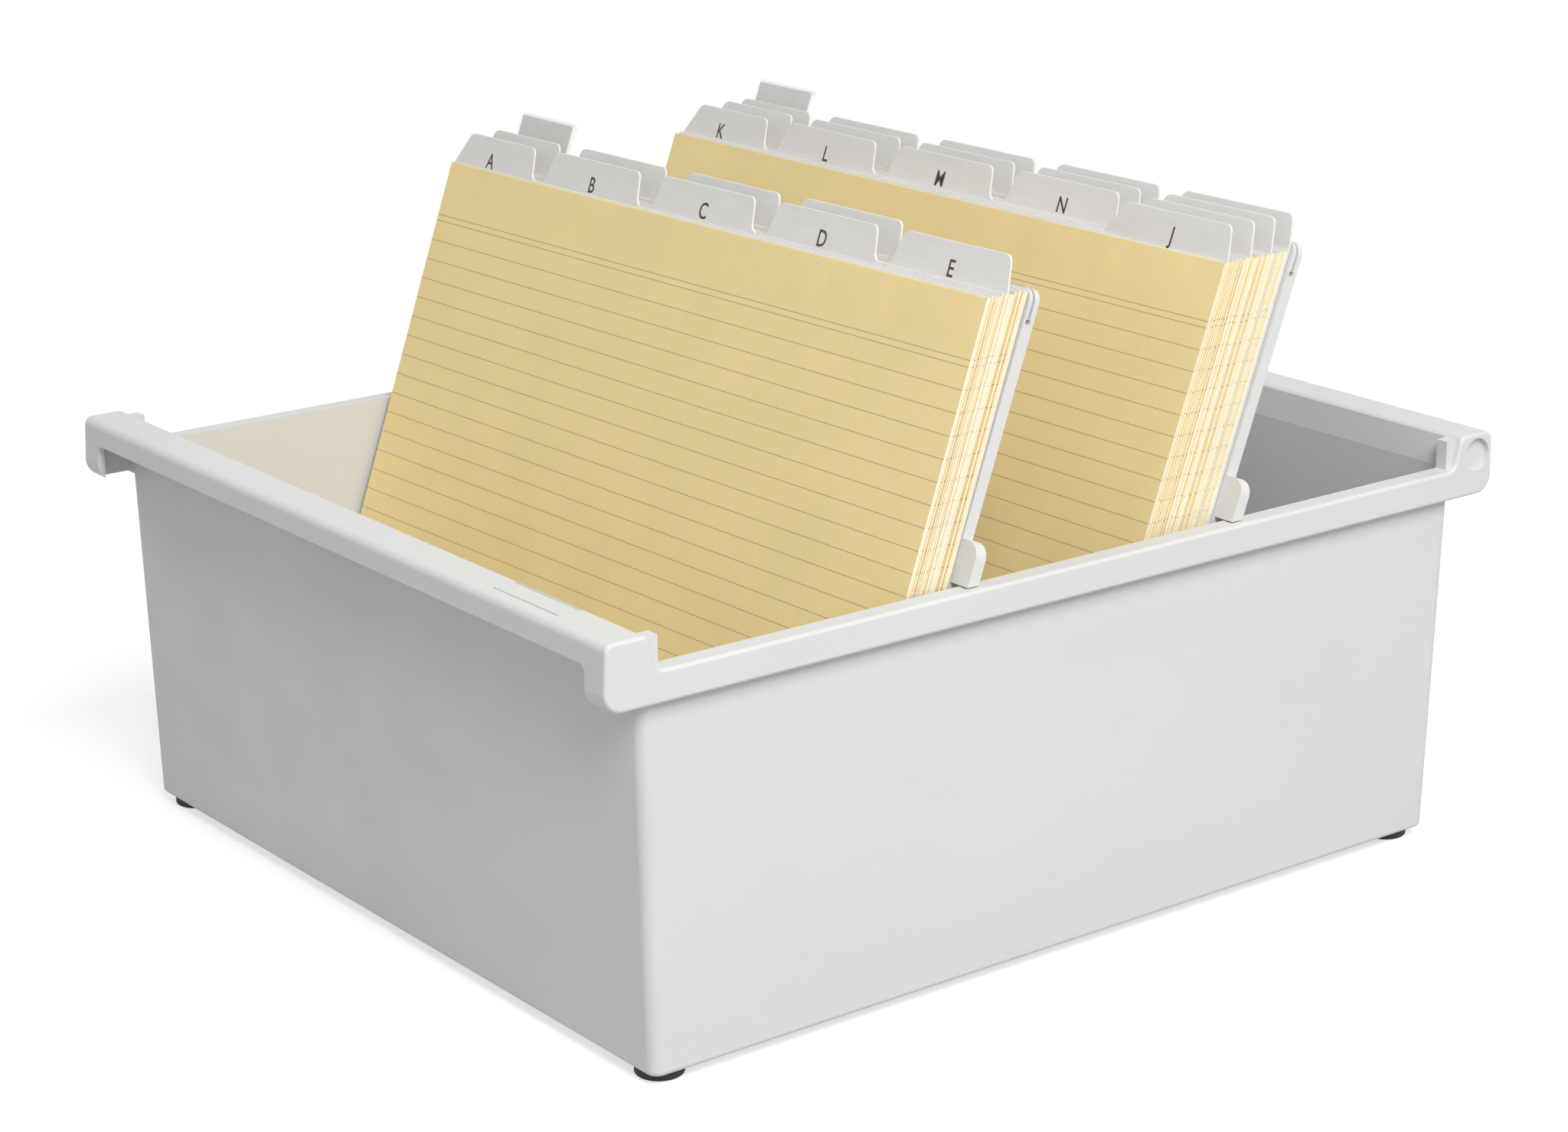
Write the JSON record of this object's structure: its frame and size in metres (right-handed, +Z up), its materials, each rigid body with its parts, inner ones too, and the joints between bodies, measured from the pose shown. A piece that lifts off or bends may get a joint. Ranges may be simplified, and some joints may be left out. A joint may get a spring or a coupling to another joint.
{
  "type": "index card drawer",
  "caption": "Open A5 landscape index card tray with leaning banks of ruled cards, tabbed guides and sliding support plates, lifted by end grip rails.",
  "frame": {"origin": "on the table, under the middle of the tray's box", "axes": "+Z up; -Y is the end with the front grip rail; +X is the right long side as seen from that end"},
  "size_m": [0.224, 0.2608, 0.1657],
  "materials": {
    "tray_plastic": "fine satin, moulded light grey",
    "plate_plastic": "fine satin, moulded light grey",
    "clear_rider": "clear, polished",
    "label_paper": "matt grey paper",
    "guide_plastic": "satin, light warm grey",
    "card_paper": "matt yellow card, printed with fine ruled lines",
    "foot_rubber": "dark brown-black rubber"
  },
  "bodies": {
    "tray": {"tray": "tray_plastic", "foot_front_left": "foot_rubber", "foot_front_right": "foot_rubber", "foot_rear_left": "foot_rubber", "foot_rear_right": "foot_rubber"},
    "front_plate": {"front_support_plate": "plate_plastic"},
    "rear_plate": {"rear_support_plate": "plate_plastic"},
    "front_rider": {"front_rider": "clear_rider"},
    "rear_rider": {"rear_rider": "clear_rider"},
    "front_label": {"front_label_insert": "label_paper"},
    "rear_label": {"rear_label_insert": "label_paper"},
    "row_f_to_i": {"guide_f": "guide_plastic", "guide_g": "guide_plastic", "guide_h": "guide_plastic", "guide_i": "guide_plastic", "cards_before_g": "card_paper", "cards_before_h": "card_paper", "cards_before_i": "card_paper"},
    "row_a_to_e": {"guide_a": "guide_plastic", "guide_b": "guide_plastic", "guide_c": "guide_plastic", "guide_d": "guide_plastic", "guide_e": "guide_plastic", "cards_before_a": "card_paper", "cards_before_b": "card_paper", "cards_before_c": "card_paper", "cards_before_d": "card_paper", "cards_before_e": "card_paper", "cards_behind_e": "card_paper"},
    "row_u_to_z": {"guide_u": "guide_plastic", "guide_v": "guide_plastic", "guide_w": "guide_plastic", "guide_xy": "guide_plastic", "guide_z": "guide_plastic", "cards_before_v": "card_paper", "cards_before_w": "card_paper", "cards_before_xy": "card_paper"},
    "row_p_to_t": {"guide_p": "guide_plastic", "guide_q": "guide_plastic", "guide_r": "guide_plastic", "guide_s": "guide_plastic", "guide_t": "guide_plastic", "cards_before_q": "card_paper", "cards_before_s": "card_paper", "cards_before_t": "card_paper", "cards_behind_t": "card_paper"},
    "row_j_to_o": {"guide_j": "guide_plastic", "guide_k": "guide_plastic", "guide_l": "guide_plastic", "guide_m": "guide_plastic", "guide_n": "guide_plastic", "guide_o": "guide_plastic", "cards_before_j": "card_paper", "cards_before_k": "card_paper", "cards_before_l": "card_paper", "cards_before_m": "card_paper", "cards_before_n": "card_paper", "cards_before_o": "card_paper", "cards_behind_o": "card_paper"}
  },
  "joints": [
    {"name": "front_plate_slide", "type": "slide", "parent": "tray", "child": "front_plate", "axis": [0, 1, 0], "range_m": [-0.02, 0.005]},
    {"name": "rear_plate_slide", "type": "slide", "parent": "tray", "child": "rear_plate", "axis": [0, 1, 0], "range_m": [-0.005, 0.055]},
    {"name": "row_f_to_i_flip", "type": "hinge", "parent": "front_plate", "child": "row_f_to_i", "pos_m": [0, -0.0758, 0.0136], "axis": [1, 0, 0], "range_deg": [0, 16]},
    {"name": "row_a_to_e_flip", "type": "hinge", "parent": "row_f_to_i", "child": "row_a_to_e", "pos_m": [0, -0.0758, 0.0136], "axis": [1, 0, 0], "range_deg": [0, 16]},
    {"name": "row_u_to_z_flip", "type": "hinge", "parent": "rear_plate", "child": "row_u_to_z", "pos_m": [0, -0.0064, 0.0143], "axis": [1, 0, 0], "range_deg": [0, 4.5]},
    {"name": "row_p_to_t_flip", "type": "hinge", "parent": "row_u_to_z", "child": "row_p_to_t", "pos_m": [0, -0.0064, 0.0143], "axis": [1, 0, 0], "range_deg": [0, 4.5]},
    {"name": "row_j_to_o_flip", "type": "hinge", "parent": "row_p_to_t", "child": "row_j_to_o", "pos_m": [0, -0.0064, 0.0143], "axis": [1, 0, 0], "range_deg": [0, 4.5]},
    {"name": "front_rider_slide", "type": "slide", "parent": "front_plate", "child": "front_rider", "axis": [1, 0, 0], "range_m": [-0.004, 0.18]},
    {"name": "rear_rider_slide", "type": "slide", "parent": "rear_plate", "child": "rear_rider", "axis": [1, 0, 0], "range_m": [0, 0.184]},
    {"name": "front_label_slide", "type": "slide", "parent": "front_rider", "child": "front_label", "axis": [-1, 0, 0], "range_m": [0, 0.021]},
    {"name": "rear_label_slide", "type": "slide", "parent": "rear_rider", "child": "rear_label", "axis": [-1, 0, 0], "range_m": [0, 0.021]}
  ]
}
